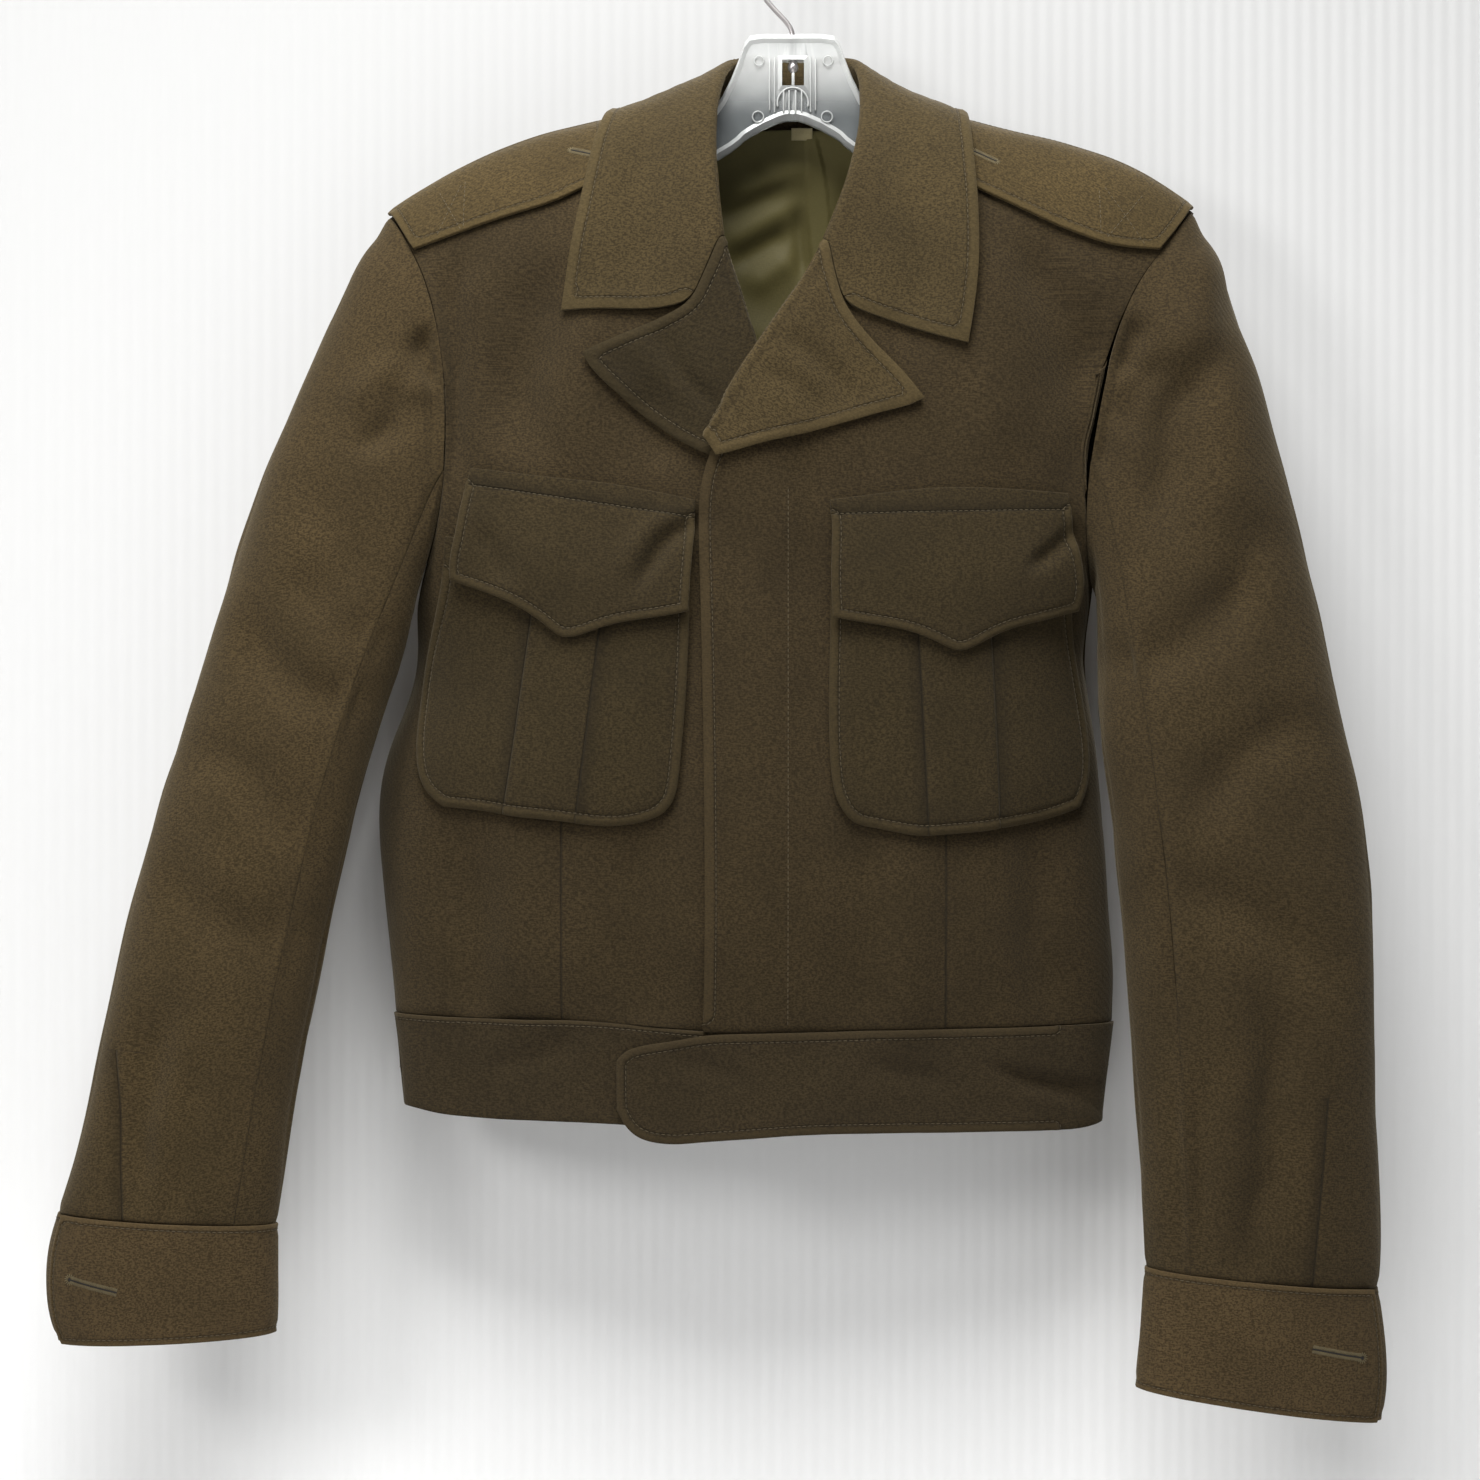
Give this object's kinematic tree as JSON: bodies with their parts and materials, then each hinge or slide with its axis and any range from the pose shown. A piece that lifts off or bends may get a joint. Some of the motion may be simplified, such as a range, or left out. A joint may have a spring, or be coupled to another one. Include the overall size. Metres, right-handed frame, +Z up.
{
  "type": "ike jacket hung on a clear hanger",
  "caption": "Waist-length wool jacket with notched lapels, flap chest pockets, shoulder loops, cuffs and a waistband with a tab, hung with an open neck on a clear hanger.",
  "frame": {"origin": "the top of the hook's inner curve, where the rod carries it; the jacket hangs below", "axes": "+Z up, -Y out of the jacket's front, +X toward the wearer's left"},
  "size_m": [0.7142, 0.1229, 0.8239],
  "materials": {
    "wool_sleeve": "matt brushed wool twill",
    "wool_chest": "matt brushed wool twill",
    "wool_pocket": "matt brushed wool twill",
    "wool_collar": "matt brushed wool twill, worn lighter",
    "wool_band": "matt brushed wool twill",
    "sateen": "smooth cotton sateen with a low sheen",
    "label": "plain woven tape, bare",
    "clear_plastic": "clear moulded plastic",
    "wire": "bright drawn steel wire"
  },
  "bodies": {
    "root": {"front_right": "wool_chest", "front_left": "wool_chest", "back": "wool_chest", "sleeve_right_top": "wool_sleeve", "sleeve_right_under": "wool_sleeve", "sleeve_left_top": "wool_sleeve", "sleeve_left_under": "wool_sleeve", "cuff_right": "wool_sleeve", "cuff_left": "wool_sleeve", "waistband_right": "wool_band", "waistband_left": "wool_band", "waistband_back": "wool_band", "collar": "wool_collar", "lapel_left": "wool_collar", "lapel_right": "wool_pocket", "pocket_right": "wool_pocket", "pocket_left": "wool_pocket", "pocket_flap_right": "wool_pocket", "pocket_flap_left": "wool_pocket", "shoulder_loop_right": "wool_sleeve", "shoulder_loop_left": "wool_sleeve", "lining_back": "sateen", "size_label": "label", "hook": "wire", "hanger": "clear_plastic", "front_right_mid": "wool_chest", "front_right_low": "wool_chest", "front_left_mid": "wool_chest", "front_left_low": "wool_chest", "sleeve_right_top_mid": "wool_sleeve", "sleeve_right_top_low": "wool_sleeve", "sleeve_left_top_mid": "wool_sleeve", "sleeve_left_top_low": "wool_sleeve", "sleeve_right_under_mid": "wool_sleeve", "sleeve_right_under_low": "wool_sleeve", "sleeve_left_under_mid": "wool_sleeve", "sleeve_left_under_low": "wool_sleeve"}
  },
  "joints": []
}
